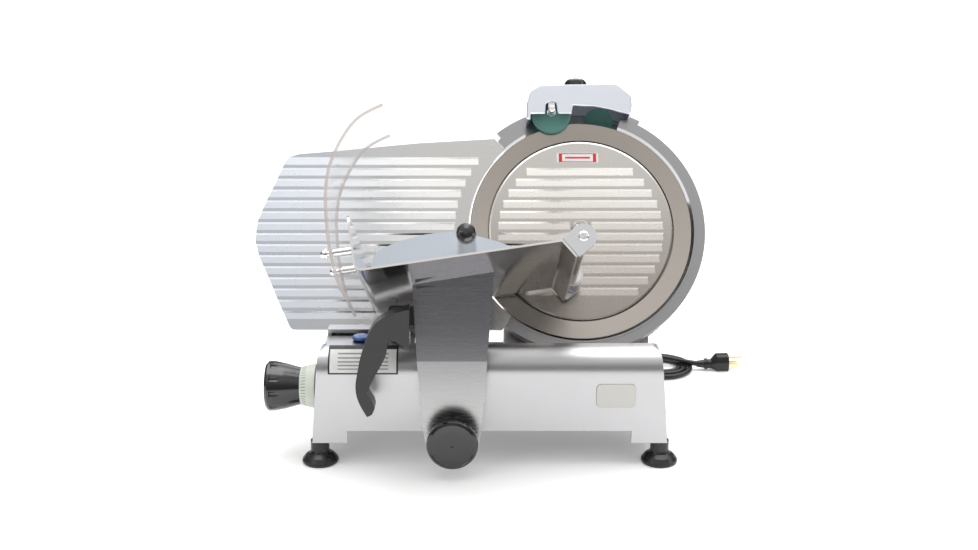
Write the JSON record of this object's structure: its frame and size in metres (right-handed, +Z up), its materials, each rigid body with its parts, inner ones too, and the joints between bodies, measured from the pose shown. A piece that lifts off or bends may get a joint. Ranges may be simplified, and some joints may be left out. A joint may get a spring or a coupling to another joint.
{
  "type": "deli meat slicer",
  "caption": "Gravity-feed deli slicer with a leaning round blade, sloping food carriage, clear hand guard, thickness dial and built-in sharpener.",
  "frame": {"origin": "centre of the bounding box in X and Y without the loose power cord, on the plane the feet rest on", "axes": "+X to the user's right along the carriage travel, +Y away from the user, +Z up"},
  "size_m": [0.6995, 0.5265, 0.454],
  "materials": {
    "cast": "satin anodised cast aluminium",
    "steel": "brushed stainless steel",
    "bright": "polished steel",
    "black": "glossy black plastic",
    "satin_black": "satin black coating",
    "rubber": "black rubber",
    "clear": "clear polycarbonate sheet",
    "dial_white": "pale printed plastic",
    "blue": "blue push button",
    "label": "white printed film",
    "red": "red printed film",
    "stone": "dark green abrasive stone",
    "iron": "painted cast housing",
    "brass": "plated brass blades"
  },
  "bodies": {
    "base": {"base_housing": "cast", "base_plate": "steel", "feet": "rubber", "column": "cast", "rear_vent_cover": "cast", "ring_guard": "cast", "spindle_bearings": "bright", "blade_cover": "cast", "cover_tie_rod": "bright", "cover_sticker": "red", "motor_body": "iron", "housing_screws": "bright", "drive_belt": "rubber", "slice_deflector": "steel", "gauge_shaft": "bright", "switch_box": "black", "slide_rails": "bright", "rail_ends": "iron", "travel_bumpers": "rubber", "info_label": "label", "front_badge": "bright", "cord_gland": "rubber", "cord_hank": "rubber", "cord_lead": "rubber", "plug_body": "rubber", "plug_blades": "brass"},
    "blade_unit": {"blade": "steel", "blade_hub_pulley": "cast"},
    "motor_unit": {"motor_rotor": "bright"},
    "gauge": {"gauge_plate": "cast", "gauge_arm": "cast"},
    "dial": {"dial_knob": "black", "dial_ring": "dial_white", "dial_shaft_cam": "bright"},
    "carriage": {"carriage_arm": "steel", "slide_block": "cast", "guide_rollers": "bright", "food_tray": "steel", "hand_guard": "clear", "guard_studs": "bright", "carriage_handle": "satin_black", "rod_brackets": "cast", "pusher_rod": "bright", "carriage_screws": "bright"},
    "sleeve": {"pusher_sleeve": "bright"},
    "pusher": {"pusher_arm": "cast", "pusher_plate": "cast", "pusher_grip_post": "bright", "pusher_grip_knob": "black"},
    "lock": {"lock_knob": "black"},
    "sharpener": {"sharpener_housing": "cast"},
    "grinder": {"grinding_stone": "stone", "grinding_spindle": "bright"},
    "honer": {"honing_stone": "stone"},
    "sharpener_screw": {"sharpener_knob": "black"},
    "cover_screw": {"cover_knob": "black"},
    "start": {"start_button": "blue"},
    "stop": {"stop_button": "black"}
  },
  "joints": [
    {"name": "blade_spin", "type": "hinge", "parent": "base", "child": "blade_unit", "pos_m": [0.1361, 0.0704, 0.2626], "axis": [0, -0.8746, 0.4848], "continuous": true},
    {"name": "motor_spin", "type": "hinge", "parent": "base", "child": "motor_unit", "pos_m": [0.1441, 0.02774, 0.18563], "axis": [0, -0.8746, 0.4848], "continuous": true},
    {"name": "dial_turn", "type": "hinge", "parent": "base", "child": "dial", "pos_m": [-0.2272, -0.0696, 0.091], "axis": [1, 0, 0], "range_deg": [0, 300]},
    {"name": "gauge_slide", "type": "slide", "parent": "base", "child": "gauge", "axis": [0, 0.8746, -0.4848], "range_m": [0, 0.015]},
    {"name": "carriage_slide", "type": "slide", "parent": "base", "child": "carriage", "axis": [1, 0, 0], "range_m": [-0.095, 0.185]},
    {"name": "lock_knob_turn", "type": "hinge", "parent": "carriage", "child": "lock", "pos_m": [-0.0336, -0.1356, 0.048], "axis": [0, 1, 0], "range_deg": [0, 90]},
    {"name": "pusher_slide", "type": "slide", "parent": "carriage", "child": "sleeve", "axis": [0, -0.8746, 0.4848], "range_m": [0, 0.2]},
    {"name": "pusher_swing", "type": "hinge", "parent": "sleeve", "child": "pusher", "pos_m": [0.12021, 0.00026, 0.21444], "axis": [0, 0.8746, -0.4848], "range_deg": [0, 40]},
    {"name": "sharpener_lift", "type": "slide", "parent": "base", "child": "sharpener", "axis": [0, 0.4848, 0.8746], "range_m": [0, 0.015]},
    {"name": "grinding_stone_spin", "type": "hinge", "parent": "sharpener", "child": "grinder", "pos_m": [0.0973, 0.14457, 0.40671], "axis": [0, -0.8746, 0.4848], "continuous": true},
    {"name": "honing_stone_spin", "type": "hinge", "parent": "sharpener", "child": "honer", "pos_m": [0.1641, 0.16187, 0.39255], "axis": [0, -0.8746, 0.4848], "continuous": true},
    {"name": "sharpener_knob_turn", "type": "hinge", "parent": "sharpener", "child": "sharpener_screw", "pos_m": [0.1321, 0.17436, 0.43365], "axis": [0, 0.4848, 0.8746], "range_deg": [0, 180]},
    {"name": "cover_knob_turn", "type": "hinge", "parent": "base", "child": "cover_screw", "pos_m": [0.1361, 0.17798, 0.20297], "axis": [0, -0.8746, 0.4848], "range_deg": [0, 360]},
    {"name": "start_button_press", "type": "slide", "parent": "base", "child": "start", "axis": [0, 0, -1], "range_m": [0, 0.002], "stiffness_N_per_m": 800, "springref_m": -0.001},
    {"name": "stop_button_press", "type": "slide", "parent": "base", "child": "stop", "axis": [0, 0, -1], "range_m": [0, 0.002], "stiffness_N_per_m": 800, "springref_m": -0.001}
  ],
  "couplings": [
    {"joint": "gauge_slide", "follows": "dial_turn", "m_per_rad": 0.0028648},
    {"joint": "motor_spin", "follows": "blade_spin", "ratio": 4.4286}
  ]
}
